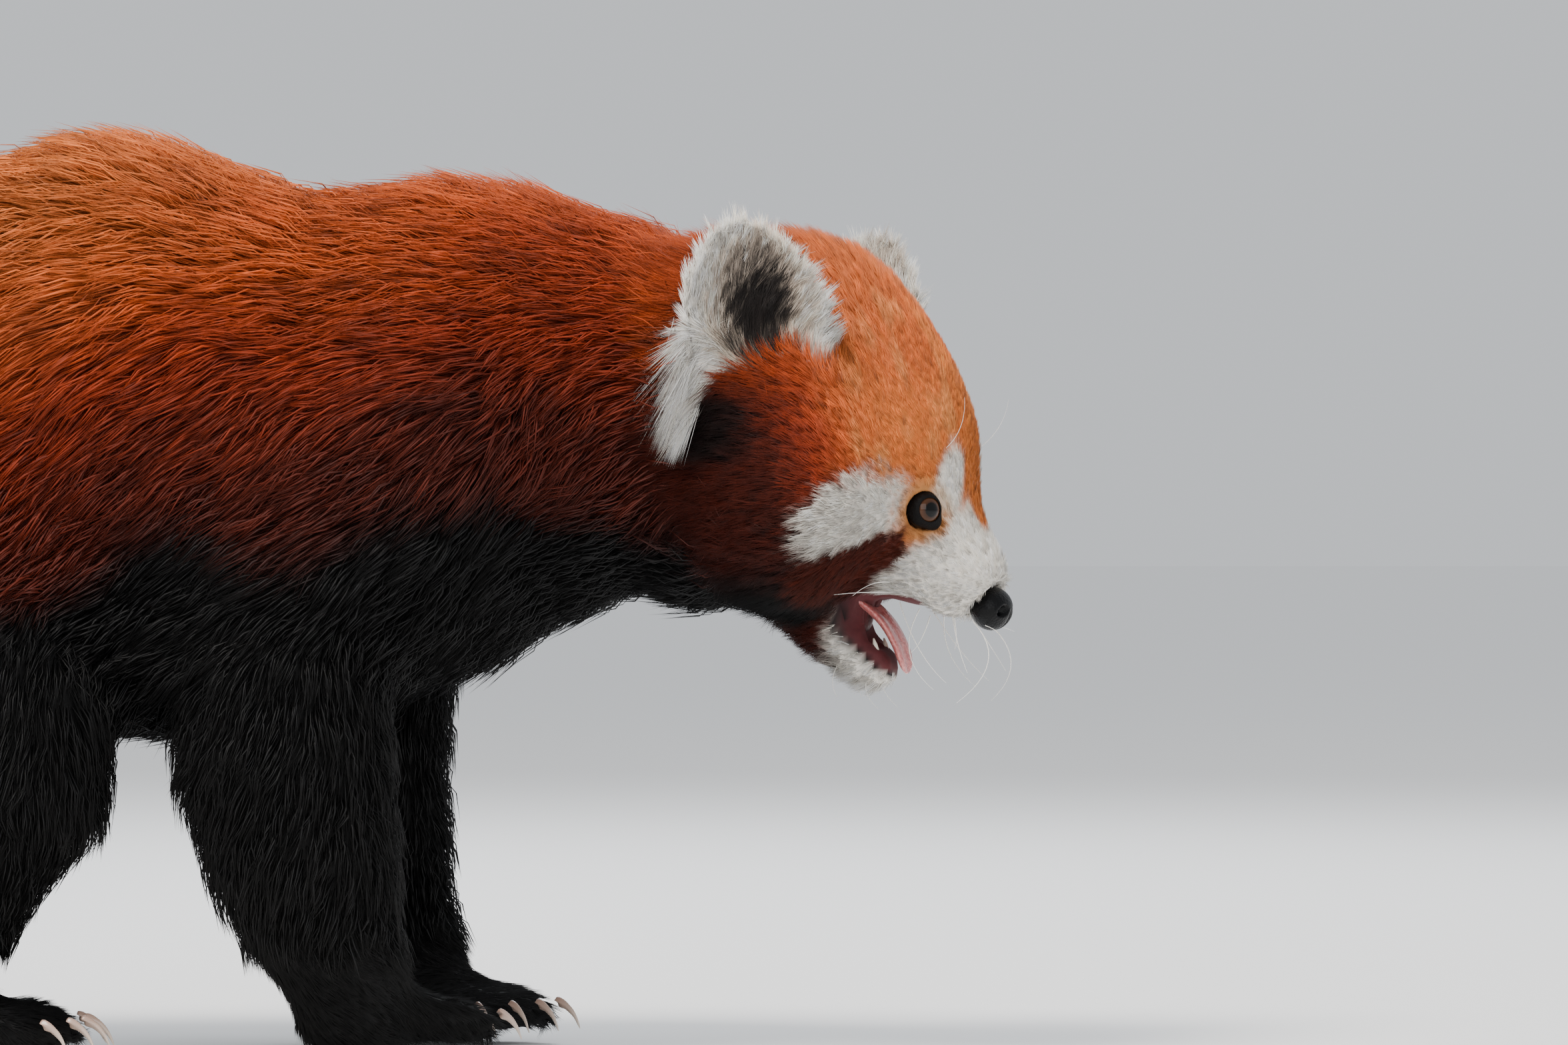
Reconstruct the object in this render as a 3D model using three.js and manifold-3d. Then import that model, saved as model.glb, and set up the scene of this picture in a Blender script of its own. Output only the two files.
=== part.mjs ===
// A red panda at life size, out to the tips of its coat. It walks with its head low and turned a little
// to its own right, its mouth open and its tongue over the lower lip. +X is forward, +Y is the animal's
// left and +Z is up. The origin is on the floor, under the middle of the animal. Sizes are in millimetres.
import * as THREE from "three";
import { mergeVertices } from "three/addons/utils/BufferGeometryUtils.js";
import Module from "manifold-3d";

const wasm = await Module();
wasm.setup();
const { Manifold, Mesh } = wasm;

const gap = 0.3; // between two solids that touch
const far = 2000; // reaches past the whole animal

// Vectors and small helpers

const vec = (x, y, z) => new THREE.Vector3(x, y, z);
const degrees = THREE.MathUtils.degToRad;
const lerp = THREE.MathUtils.lerp;

// Masses: rounded forms whose signed distance is below zero inside

function ball(at, radii) {
  const r = vec(...radii);
  return (p) => {
    const q = p.clone().sub(at).divide(r);
    const slope = q.clone().divide(r).length();
    return slope === 0 ? -Math.min(...radii) : (q.length() * (q.length() - 1)) / slope;
  };
}

function limb(from, to, fromRadius, toRadius) {
  const along = to.clone().sub(from);
  return (p) => {
    const share = THREE.MathUtils.clamp(p.clone().sub(from).dot(along) / along.lengthSq(), 0, 1);
    const axis = from.clone().addScaledVector(along, share);
    return p.distanceTo(axis) - lerp(fromRadius, toRadius, share);
  };
}

// A limb through several joints, each with its own radius.
function chain(joints) {
  const bones = joints.slice(1).map((joint, i) => {
    const before = joints[i];
    return limb(before.at, joint.at, before.radius, joint.radius);
  });
  return blend(6, bones);
}

// Joins masses with a soft crease of the given width.
function blend(softness, masses) {
  return (p) =>
    masses.reduce((sum, mass) => {
      const d = mass(p);
      const h = Math.max(softness - Math.abs(sum - d), 0) / softness;
      return Math.min(sum, d) - (h * h * softness) / 4;
    }, far);
}

// Casting: a closed surface is found by shooting rays out of an axis until they leave a mass

function rayLength(mass, from, direction, reach) {
  const step = 2.5;
  const at = (r) => mass(from.clone().addScaledVector(direction, r));
  let inside = 0;
  while (inside + step < reach && at(inside + step) < 0) inside += step;
  let outside = inside + step;
  for (let i = 0; i < 14; i++) {
    const middle = (inside + outside) / 2;
    if (at(middle) < 0) inside = middle;
    else outside = middle;
  }
  return Math.max(inside, 0.6);
}

// The rays leave the axis square to it, and fan out round its two ends.
function cast(mass, axis, { rows, spokes, capRows = 4, reach = 170, grow = 0 }) {
  const grown = (p) => mass(p) - grow;
  const side = vec(0, 1, 0);
  const rings = [];
  for (let i = 1; i <= capRows; i++) rings.push([0, (i / capRows - 1) * (Math.PI / 2)]);
  for (let i = 1; i < rows; i++) rings.push([i / rows, 0]);
  for (let i = 0; i < capRows; i++) rings.push([1, (i / capRows) * (Math.PI / 2)]);
  const points = [];
  const put = (share, lean, turn) => {
    const from = axis.getPointAt(share);
    const ahead = axis.getTangentAt(share);
    const across = side.clone().addScaledVector(ahead, -side.dot(ahead)).normalize();
    const down = ahead.clone().cross(across);
    const out = across.multiplyScalar(Math.cos(turn)).addScaledVector(down, Math.sin(turn));
    const direction = out.multiplyScalar(Math.cos(lean)).addScaledVector(ahead, Math.sin(lean));
    points.push(from.addScaledVector(direction, rayLength(grown, from, direction, reach)));
  };
  put(0, -Math.PI / 2, 0);
  for (const [share, lean] of rings)
    for (let j = 0; j < spokes; j++) put(share, lean, (2 * Math.PI * j) / spokes);
  put(1, Math.PI / 2, 0);
  return closedRings(points, rings.length, spokes);
}

// Joins rings of points, with one point before the first ring and one after the last.
function closedRings(points, rings, spokes) {
  const last = points.length - 1;
  const faces = [];
  const at = (ring, j) => 1 + ring * spokes + (j % spokes);
  for (let j = 0; j < spokes; j++) {
    faces.push(0, at(0, j + 1), at(0, j));
    for (let i = 0; i + 1 < rings; i++) {
      faces.push(at(i, j), at(i, j + 1), at(i + 1, j + 1));
      faces.push(at(i, j), at(i + 1, j + 1), at(i + 1, j));
    }
    faces.push(at(rings - 1, j), at(rings - 1, j + 1), last);
  }
  const geometry = new THREE.BufferGeometry().setFromPoints(points);
  return solidOf(geometry.setIndex(faces));
}

const path = (...points) => new THREE.CatmullRomCurve3(points);

// Solids and cuts

function solidOf(geometry, matrix = new THREE.Matrix4()) {
  const bare = geometry.clone().applyMatrix4(matrix);
  bare.deleteAttribute("normal");
  bare.deleteAttribute("uv");
  const merged = mergeVertices(bare, 1e-4);
  const vertProperties = new Float32Array(merged.attributes.position.array);
  const triVerts = new Uint32Array(merged.index.array);
  return new Manifold(new Mesh({ numProp: 3, vertProperties, triVerts }));
}

const placed = (at, rotation = new THREE.Quaternion(), scale = vec(1, 1, 1)) =>
  new THREE.Matrix4().compose(at, rotation, scale);

function stretchedSphere(at, radii, rotation, across = 14, down = 9) {
  const sphere = new THREE.SphereGeometry(1, across, down);
  return solidOf(sphere, placed(at, rotation, vec(...radii)));
}

const joined = (solids) => solids.reduce((sum, solid) => sum.add(solid));

// The half of space on the side that the normal points to, from a plane through a point.
function halfSpace(point, normal) {
  const turn = new THREE.Quaternion().setFromUnitVectors(vec(0, 0, 1), normal.clone().normalize());
  const centre = point.clone().addScaledVector(normal.clone().normalize(), far / 2 + gap / 2);
  return solidOf(new THREE.BoxGeometry(far, far, far), placed(centre, turn));
}

const ahead = (solid, cut) => solid.intersect(halfSpace(cut.at, cut.normal));
const behind = (solid, cut) => solid.intersect(halfSpace(cut.at, cut.normal.clone().negate()));

const floorUp = halfSpace(vec(0, 0, -gap / 2), vec(0, 0, 1));

// A solid of the largest piece only, without the crumbs that a cut can leave.
function whole(solid) {
  return solid.decompose().reduce((most, piece) => (piece.volume() > most.volume() ? piece : most));
}

// Finishes

const finish = (color, roughness) =>
  new THREE.MeshStandardMaterial({ color, roughness, metalness: 0 });
const finishes = {
  red: finish("#8f3a16", 0.8),
  ginger: finish("#b5642f", 0.8),
  black: finish("#14110f", 0.8),
  white: finish("#e6e0d6", 0.8),
  cornea: finish("#1c120c", 0.1),
  leather: finish("#121110", 0.35),
  tongue: finish("#c4676a", 0.4),
  horn: finish("#d8cdbd", 0.35),
};

const panda = new THREE.Group();
panda.name = "red_panda";

function node(name, solid, material) {
  const { vertProperties, triVerts, numProp } = whole(solid).getMesh();
  const position = new THREE.BufferAttribute(new Float32Array(vertProperties), numProp);
  const geometry = new THREE.BufferGeometry().setAttribute("position", position);
  geometry.setIndex(new THREE.BufferAttribute(new Uint32Array(triVerts), 1));
  geometry.computeBoundingBox();
  const centre = geometry.boundingBox.getCenter(vec(0, 0, 0));
  geometry.translate(-centre.x, -centre.y, -centre.z).computeVertexNormals();
  const mesh = new THREE.Mesh(geometry, material);
  mesh.name = name;
  mesh.position.copy(centre);
  panda.add(mesh);
}

// The head's own frame: f forward, s to its left and u up from the floor. It is turned to its right.

const headAt = vec(315, -12, 0);
const headTurn = new THREE.Quaternion().setFromAxisAngle(vec(0, 0, 1), degrees(-18));
const inHead = (f, s, u) => vec(f, s, u).applyQuaternion(headTurn).add(headAt);
const headBall = (at, radii) => {
  const form = ball(vec(...at), radii);
  const back = headTurn.clone().invert();
  return (p) => form(p.clone().sub(headAt).applyQuaternion(back));
};
const sides = { right: -1, left: 1 };
const onBothSides = (make) => Object.values(sides).map(make);

// Trunk and neck

const trunkMasses = [
  ball(vec(-26, 0, 188), [54, 66, 64]), // rump
  ball(vec(30, 0, 196), [72, 76, 76]), // hips
  ball(vec(104, 0, 196), [74, 82, 86]), // loin
  ball(vec(160, 0, 182), [70, 80, 80]), // ribs
  ball(vec(118, 0, 146), [78, 66, 54]), // belly
  ball(vec(212, 0, 194), [48, 72, 70]), // shoulders
  ball(vec(204, 0, 156), [44, 56, 42]), // breast
  limb(vec(215, 0, 200), vec(296, -6, 192), 60, 58), // neck
  ...onBothSides((s) => limb(vec(206, 50 * s, 186), vec(158, 58 * s, 124), 36, 36)), // upper arms
];
const thighs = {
  right: { hip: vec(0, -42, 168), knee: vec(76, -56, 118) },
  left: { hip: vec(-6, 42, 168), knee: vec(36, 56, 116) },
};
for (const { hip, knee } of Object.values(thighs)) trunkMasses.push(limb(hip, knee, 46, 34));

// Head

const headMasses = [
  headBall([-8, 0, 191], [50, 55, 56]), // cranium
  headBall([20, 0, 178], [35, 39, 41]), // brow
  headBall([47, 0, 145], [17, 15.5, 14]), // end of the muzzle
  headBall([33, 0, 151], [22, 21, 20]), // root of the muzzle
  headBall([-12, 0, 158], [34, 42, 28]), // jaw angles
  ...onBothSides((s) => headBall([0, 37 * s, 166], [34, 29, 33])), // cheeks
  ...onBothSides((s) => headBall([44, 8.5 * s, 140.5], [14, 10.5, 9])), // whisker pads
];

const bodyMass = blend(26, trunkMasses);
const headMass = blend(13, headMasses);
const bodyAndHead = blend(18, [bodyMass, headMass]);

const spine = path(
  vec(-20, 0, 188),
  vec(50, 0, 198),
  vec(130, 0, 196),
  vec(215, 0, 196),
  vec(288, -5, 194),
);
const torsoGrid = { rows: 16, spokes: 24, capRows: 4 };
const torso = cast(bodyAndHead, spine, torsoGrid);

// The head is cast from its middle, with more of the rays towards the muzzle.
function castHead(grow) {
  const centre = inHead(10, 0, 172);
  const muzzle = inHead(60, 0, 142).sub(centre).normalize();
  const sphere = mergeVertices(bareGeometry(new THREE.IcosahedronGeometry(1, 6)), 1e-4);
  const position = sphere.attributes.position;
  for (let i = 0; i < position.count; i++) {
    const direction = vec(0, 0, 0).fromBufferAttribute(position, i).addScaledVector(muzzle, 0.45);
    direction.normalize();
    const reach = rayLength((p) => bodyAndHead(p) - grow, centre, direction, 92);
    const point = centre.clone().addScaledVector(direction, reach);
    position.setXYZ(i, point.x, point.y, point.z);
  }
  return solidOf(sphere);
}

function bareGeometry(geometry) {
  geometry.deleteAttribute("normal");
  geometry.deleteAttribute("uv");
  return geometry;
}

const headCut = { at: inHead(-28, 0, 200), normal: inHead(1, 0, 0.2).sub(inHead(0, 0, 0)) };
const neckCut = { at: vec(238, 0, 190), normal: vec(1, 0, 0.1) };

const headCast = castHead(0);

// Eyes: globes that show between the lids, looking forward and out to the sides

const eyeRadius = 6.6;
const eyeShows = 2.6; // how far the globe stands out of the coat
const eyeAt = (s) => {
  const from = inHead(21, 9 * s, 163.6);
  const out = vec(0.87, 0.49 * s, 0).applyQuaternion(headTurn).normalize();
  const surface = rayLength(bodyAndHead, from, out, 60);
  return from.addScaledVector(out, surface + eyeShows - eyeRadius);
};
const eye = (s, grow) => {
  const r = eyeRadius + grow;
  return stretchedSphere(eyeAt(s), [r, r, r], undefined, 10, 7);
};

// Nose leather

const noseRadii = [6.5, 9, 7];
const nose = (grow) => {
  const radii = noseRadii.map((radius) => radius + grow);
  return stretchedSphere(inHead(57.5, 0, 134), radii, headTurn, 11, 7);
};

// Lower jaw, hanging open, and the tongue over its tip

const jawMass = blend(
  5,
  onBothSides((s) => limb(inHead(-7, 10 * s, 140.5), inHead(21.5, 5 * s, 116), 10, 5.6)),
);
const jawAxis = path(inHead(-3, 0, 138), inHead(18, 0, 119));
const jaw = (grow) =>
  cast(jawMass, jawAxis, { rows: 4, spokes: 12, capRows: 3, reach: 40, grow });

const tonguePath = path(
  inHead(0, 0, 138),
  inHead(11, 0, 139.5),
  inHead(21, 0, 134),
  inHead(28, 0, 124.5),
  inHead(31.5, 0, 112),
);
const tongueShape = { across: 9.5, thick: 2.8, rows: 8, spokes: 10 };
function tongue(grow) {
  const { across, thick, rows, spokes } = tongueShape;
  const points = [];
  const side = inHead(0, 1, 0).sub(inHead(0, 0, 0));
  for (let i = 0; i <= rows; i++) {
    const share = i / rows;
    const centre = tonguePath.getPointAt(share);
    const up = tonguePath.getTangentAt(share).cross(side);
    const taper = Math.sqrt(1 - Math.pow(Math.max(share, 0.02) * 0.98, 6));
    for (let j = 0; j < spokes; j++) {
      const turn = (2 * Math.PI * j) / spokes;
      const out = side.clone().multiplyScalar(Math.cos(turn) * (across * taper + grow));
      out.addScaledVector(up, Math.sin(turn) * (thick * taper + grow));
      points.push(centre.clone().add(out));
    }
  }
  points.unshift(tonguePath.getPointAt(0));
  points.push(tonguePath.getPointAt(1));
  return outward(closedRings(points, rows + 1, spokes));
}

// Turns a solid whose faces point inwards the right way round.
function outward(solid) {
  if (solid.volume() > 0) return solid;
  const { vertProperties, triVerts } = solid.getMesh();
  for (let i = 0; i < triVerts.length; i += 3)
    [triVerts[i + 1], triVerts[i + 2]] = [triVerts[i + 2], triVerts[i + 1]];
  return new Manifold(new Mesh({ numProp: 3, vertProperties, triVerts }));
}

// Ears: cupped leaves that open outwards and forward

const ear = { width: 24.5, height: 29, cup: 8, thick: 9, taper: 0.26, rings: 3, spokes: 16 };
function earSolid(s) {
  const upward = vec(-0.16, 0.28 * s, 0.94).normalize();
  const opening = vec(0.42, 0.86 * s, 0);
  opening.addScaledVector(upward, -opening.dot(upward)).normalize();
  const across = upward.clone().cross(opening);
  const centre = vec(2, 61 * s, 223);
  const { rings, spokes } = ear;
  const point = (r, j, back) => {
    const turn = (2 * Math.PI * j) / spokes;
    const x = ear.width * r * Math.sin(turn) * (1 - ear.taper * Math.cos(turn));
    const y = ear.height * r * Math.cos(turn);
    const z = -ear.cup * (1 - r * r) - (back ? ear.thick * Math.sqrt(1 - Math.pow(r, 4)) : 0);
    const p = centre.clone().addScaledVector(across, x).addScaledVector(upward, y);
    return p.addScaledVector(opening, z).applyQuaternion(headTurn).add(headAt);
  };
  const points = [point(0, 0, false)];
  for (let i = 1; i <= rings; i++)
    for (let j = 0; j < spokes; j++) points.push(point(i / rings, j, false));
  for (let i = rings - 1; i >= 1; i--)
    for (let j = 0; j < spokes; j++) points.push(point(i / rings, j, true));
  points.push(point(0, 0, true));
  return outward(closedRings(points, 2 * rings - 1, spokes));
}

// Tail: carried low behind, bushy all along

const tailPath = path(
  vec(-50, 0, 196),
  vec(-104, 3, 168),
  vec(-168, 8, 118),
  vec(-240, 14, 72),
  vec(-318, 18, 49),
  vec(-390, 14, 43),
);
const tailRadii = [27, 34, 40, 43, 43, 30];
const tailMass = blend(
  10,
  tailRadii.slice(1).map((radius, i) => {
    const places = tailRadii.length - 1;
    const at = (k) => tailPath.getPoint(k / places);
    return limb(at(i), at(i + 1), tailRadii[i], radius);
  }),
);
const tailSolid = cast(tailMass, tailPath, { rows: 14, spokes: 14, capRows: 3, reach: 70 });
const tailCuts = [0.36, 0.68].map((share) => ({
  at: tailPath.getPointAt(share),
  normal: tailPath.getTangentAt(share).negate(),
}));

// Legs: chains of joints from inside the trunk down to the paw

const joint = (x, y, z, radius) => ({ at: vec(x, y, z), radius });
const legs = {
  foreleg_right: {
    joints: [joint(160, -58, 120, 36), joint(159, -62, 90, 35), joint(165, -63, 62, 32), joint(176, -61, 30, 22)],
    paw: { at: vec(174, -64, 0), heading: 56, length: 62, width: 42 },
  },
  foreleg_left: {
    joints: [joint(178, 56, 128, 35), joint(176, 58, 98, 31), joint(180, 54, 66, 27), joint(190, 51, 30, 21)],
    paw: { at: vec(186, 54, 0), heading: -48, length: 62, width: 42 },
  },
  hindleg_right: {
    joints: [joint(74, -56, 118, 38), joint(78, -60, 92, 38), joint(60, -61, 60, 32), joint(34, -60, 29, 24)],
    paw: { at: vec(14, -60, 0), heading: -8, length: 92, width: 42 },
  },
  hindleg_left: {
    joints: [joint(34, 56, 116, 37), joint(32, 59, 92, 36), joint(2, 59, 60, 30), joint(-26, 58, 29, 23)],
    paw: { at: vec(-44, 58, 0), heading: 4, length: 92, width: 42 },
  },
};
const wristHeight = 36;
const toe = {
  count: 5,
  long: 24,
  short: 26, // how much the outer toes fall back
  tip: 11, // from the toe's last joint to the paw's front
  rootHeight: 13,
  endHeight: 9.5,
  rootSpread: 0.72,
  endSpread: 1.06,
  swing: 34,
  radii: { beyond: 9, across: 8.2, high: 10 },
};
const palm = { behind: 12, ahead: 22, height: 14, radius: 16 };

// Where each toe of a paw starts and ends, in the paw's own frame.
function toes({ length, width }) {
  return Array.from({ length: toe.count }, (_, i) => {
    const share = i / (toe.count - 1) - 0.5;
    const reach = length - toe.tip - toe.short * share * share;
    return {
      from: vec(reach - toe.long, share * width * toe.rootSpread, toe.rootHeight),
      to: vec(reach, share * width * toe.endSpread, toe.endHeight),
      swing: share * toe.swing,
    };
  });
}

const pawFrame = ({ at, heading }) =>
  placed(at, new THREE.Quaternion().setFromAxisAngle(vec(0, 0, 1), degrees(heading)));

function pawSolid(paw, grow) {
  const frame = pawFrame(paw);
  const front = paw.length - palm.ahead;
  const centre = vec((front - palm.behind) / 2, 0, palm.height);
  const palmRadii = vec((front + palm.behind) / 2, paw.width / 2, palm.radius).addScalar(grow);
  const palmSphere = new THREE.SphereGeometry(1, 10, 6);
  const parts = [solidOf(palmSphere, frame.clone().multiply(placed(centre, undefined, palmRadii)))];
  for (const { from, to } of toes(paw)) {
    const along = to.clone().sub(from);
    const turn = new THREE.Quaternion().setFromUnitVectors(vec(1, 0, 0), along.clone().normalize());
    const { beyond, across, high } = toe.radii;
    const radii = vec(along.length() / 2 + beyond, across, high).addScalar(grow);
    const place = placed(from.clone().lerp(to, 0.5), turn, radii);
    parts.push(solidOf(new THREE.SphereGeometry(1, 7, 5), frame.clone().multiply(place)));
  }
  return joined(parts).intersect(floorUp);
}

// Claws: each is a tapered hook out of the end of its toe

const claw = {
  length: 13,
  thick: 2.1,
  flat: 0.72, // its width as a share of its depth
  taper: 0.88,
  start: degrees(14), // below the toe's own direction
  bend: degrees(62),
  ahead: 6,
  above: 4,
  rows: 3,
  sides: 4,
};
function clawSolid(paw, { to, swing }) {
  const bendRadius = claw.length / claw.bend;
  const frame = pawFrame(paw);
  const turn = new THREE.Quaternion().setFromAxisAngle(vec(0, 0, 1), degrees(swing));
  const root = to.clone().add(vec(claw.ahead, 0, claw.above).applyQuaternion(turn));
  const points = [];
  const leaning = (angle, long) => vec(Math.sin(angle), 0, Math.cos(angle)).multiplyScalar(long);
  const put = (share, side) => {
    const angle = claw.start + claw.bend * share;
    const radius = claw.thick * (1 - claw.taper * share);
    const spin = (2 * Math.PI * side) / claw.sides;
    const centre = leaning(angle, bendRadius).sub(leaning(claw.start, bendRadius));
    const out = leaning(angle, Math.cos(spin) * radius);
    out.add(vec(0, Math.sin(spin) * radius * claw.flat, 0));
    return centre.add(out).applyQuaternion(turn).add(root).applyMatrix4(frame);
  };
  const middleOf = (share) => put(share, 0).lerp(put(share, claw.sides / 2), 0.5);
  points.push(middleOf(0));
  for (let i = 0; i <= claw.rows; i++)
    for (let j = 0; j < claw.sides; j++) points.push(put(i / claw.rows, j));
  points.push(middleOf(1));
  return outward(closedRings(points, claw.rows + 1, claw.sides));
}

// The parts as nodes: each is cut by what it meets

const torsoGrown = cast(bodyAndHead, spine, { ...torsoGrid, grow: gap });
const bodyGrown = torsoGrown.add(castHead(gap));
const eyesAndNose = joined([eye(-1, gap), eye(1, gap), nose(gap)]);
node("trunk", behind(torso, neckCut), finishes.red);
node("neck", behind(ahead(torso, neckCut), headCut), finishes.red);
node("head", ahead(headCast, headCut).subtract(eyesAndNose), finishes.ginger);
node("lower_jaw", jaw(0).subtract(bodyGrown), finishes.white);
node("tongue", tongue(0).subtract(bodyGrown).subtract(jaw(gap)), finishes.tongue);
node("nose", nose(0), finishes.leather);
for (const [side, s] of Object.entries(sides)) {
  node(`eye_${side}`, eye(s, 0), finishes.cornea);
  node(`ear_${side}`, earSolid(s).subtract(bodyGrown), finishes.white);
}

const tail = tailSolid.subtract(bodyGrown);
node("tail_root", ahead(tail, tailCuts[0]), finishes.red);
node("tail_middle", ahead(behind(tail, tailCuts[0]), tailCuts[1]), finishes.ginger);
node("tail_end", behind(tail, tailCuts[1]), finishes.red);

for (const [name, leg] of Object.entries(legs)) {
  const cut = { at: leg.paw.at.clone().setZ(wristHeight), normal: vec(0, 0, 1) };
  const axis = path(...leg.joints.map(({ at }) => at));
  const shaft = cast(chain(leg.joints), axis, { rows: 6, spokes: 13, capRows: 3, reach: 60 });
  const limbAndPaw = shaft.add(pawSolid(leg.paw, 0)).subtract(bodyGrown);
  const pawName = name.replace("leg", "paw");
  node(name, ahead(limbAndPaw, cut), finishes.black);
  node(pawName, behind(limbAndPaw, cut), finishes.black);
  const pawGrown = pawSolid(leg.paw, gap);
  toes(leg.paw).forEach((place, i) => {
    const hook = clawSolid(leg.paw, place).subtract(pawGrown);
    node(`${pawName}_claw_${i + 1}`, hook, finishes.horn);
  });
}

// The middle of the whole animal goes to X and Y of zero
const bounds = new THREE.Box3().setFromObject(panda);
const middle = bounds.getCenter(vec(0, 0, 0));
for (const mesh of panda.children) mesh.position.sub(vec(middle.x, middle.y, bounds.min.z));

export default panda;
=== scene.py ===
# A red panda at life size, walking with its head low and its mouth open. +X is forward, +Y is the
# animal's left and +Z is up. Sizes are in metres.
import math

import bpy
import numpy as np
from mathutils.kdtree import KDTree
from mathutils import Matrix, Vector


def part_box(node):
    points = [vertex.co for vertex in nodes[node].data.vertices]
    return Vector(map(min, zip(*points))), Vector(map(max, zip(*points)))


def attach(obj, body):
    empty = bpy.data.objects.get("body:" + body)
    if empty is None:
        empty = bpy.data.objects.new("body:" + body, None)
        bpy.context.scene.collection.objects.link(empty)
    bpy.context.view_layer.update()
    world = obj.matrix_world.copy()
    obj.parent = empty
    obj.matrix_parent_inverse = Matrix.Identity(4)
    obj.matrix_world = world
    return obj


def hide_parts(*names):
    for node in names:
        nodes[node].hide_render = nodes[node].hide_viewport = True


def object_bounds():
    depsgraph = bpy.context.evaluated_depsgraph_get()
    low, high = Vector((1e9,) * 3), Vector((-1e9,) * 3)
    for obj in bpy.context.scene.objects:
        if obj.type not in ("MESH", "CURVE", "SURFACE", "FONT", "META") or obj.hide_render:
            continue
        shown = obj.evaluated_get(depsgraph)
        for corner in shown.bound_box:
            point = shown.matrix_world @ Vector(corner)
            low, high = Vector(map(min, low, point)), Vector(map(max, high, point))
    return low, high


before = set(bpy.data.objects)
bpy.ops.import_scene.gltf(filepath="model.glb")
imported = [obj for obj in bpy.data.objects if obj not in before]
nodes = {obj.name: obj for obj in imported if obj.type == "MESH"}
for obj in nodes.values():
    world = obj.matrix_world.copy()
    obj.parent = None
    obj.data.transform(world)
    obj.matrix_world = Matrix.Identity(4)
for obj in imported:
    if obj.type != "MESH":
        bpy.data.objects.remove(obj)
cad_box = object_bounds()

# The camera stands to the animal's right, level with its muzzle, and looks straight across it. Its place
# is measured from the nose, and its lens gives the photograph's frame.
MM = 0.001


def box_middle(name):
    low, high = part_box(name)
    return (np.array(low) + np.array(high)) / 2


nose_middle = box_middle("nose")
camera_from_nose = np.array([-62.2, -2685.2, 25.8]) * MM
camera_data = bpy.data.cameras.new("camera")
camera_data.sensor_width = 36
camera_data.lens = 205.7
camera_data.clip_end = 100
camera = bpy.data.objects.new("camera", camera_data)
camera.location = nose_middle + camera_from_nose
camera.rotation_euler = (math.pi / 2, 0, 0)
bpy.context.collection.objects.link(camera)
bpy.context.scene.camera = camera

# The studio: a wide pale floor, a large soft lamp above and a little behind, one softer from the front,
# and an even pale surround.


def material(name, color=(0.5, 0.5, 0.5), roughness=0.5, **sockets):
    made = bpy.data.materials.new(name)
    made.use_nodes = True
    shader = made.node_tree.nodes["Principled BSDF"]
    shader.inputs["Base Color"].default_value = (*color, 1)
    shader.inputs["Roughness"].default_value = roughness
    for socket, value in sockets.items():
        shader.inputs[socket.replace("_", " ")].default_value = value
    return made, shader


bpy.ops.object.select_all(action="DESELECT")
bpy.ops.mesh.primitive_plane_add(size=60, location=(0, 0, 0))
floor = bpy.context.object
floor.name = "floor"
floor_finish, _ = material("floor", (0.95, 0.95, 0.95), 0.9, Specular_IOR_Level=0.0)
floor.data.materials.append(floor_finish)

world = bpy.data.worlds.new("studio")
world.use_nodes = True
world.node_tree.nodes["Background"].inputs["Color"].default_value = (0.93, 0.96, 1.0, 1)
world.node_tree.nodes["Background"].inputs["Strength"].default_value = 0.75
bpy.context.scene.world = world


def lamp(name, place, aim, size, watts, tint=(1, 1, 1)):
    data = bpy.data.lights.new(name, "AREA")
    data.size = size
    data.energy = watts
    data.color = tint
    made = bpy.data.objects.new(name, data)
    made.location = place
    direction = np.array(aim) - np.array(place)
    made.rotation_euler = (
        math.atan2(math.hypot(direction[0], direction[1]), -direction[2]),
        0,
        math.atan2(direction[1], direction[0]) - math.pi / 2,
    )
    bpy.context.collection.objects.link(made)


body_middle = (0.05, 0, 0.17)
lamp("key", (-0.5, -0.9, 2.1), body_middle, 0.9, 62, (1.0, 0.95, 0.88))
lamp("front", (0.9, -2.4, 1.0), body_middle, 1.6, 22)
lamp("rim", (0.3, 1.6, 1.6), body_middle, 1.0, 26, (0.92, 0.96, 1.0))

# The skin: one surface under the whole coat, from the lips to the tip of the tail. It is made of the
# solids of flesh, joined, smoothed and drawn in by the depth of the coat that grows there.

SIDES = {"right": -1, "left": 1}
FLESH = ["trunk", "neck", "head", "lower_jaw", "tail_root", "tail_middle", "tail_end"]
FLESH += [f"ear_{side}" for side in SIDES]
FLESH += [f"{limb}_{side}" for limb in ("foreleg", "forepaw", "hindleg", "hindpaw") for side in SIDES]
GROUPS = ["trunk", "neck", "head", "jaw", "tail", "ear", "leg", "paw"]
HEAD, JAW, EAR = (GROUPS.index(group) for group in ("head", "jaw", "ear"))
swell = 0.5 * MM  # closes the thin cuts between the solids
voxel = 2.55 * MM  # keeps the skin under 200,000 triangles
same_corner = 0.01 * MM
sample_spacing = 6 * MM
fewest_samples = 200


def group_of(name):
    """The group of a node: foreleg_left and hindleg_right are both of the group leg."""
    for group in ("tail", "ear", "paw", "leg", "jaw"):
        if group in name:
            return GROUPS.index(group)
    return GROUPS.index(name)


def read(items, attribute, width, kind=float):
    """One attribute of all the items, a row of the given width for each."""
    values = np.empty(len(items) * width, dtype=kind)
    items.foreach_get(attribute, values)
    return values.reshape(-1, width)


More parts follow.
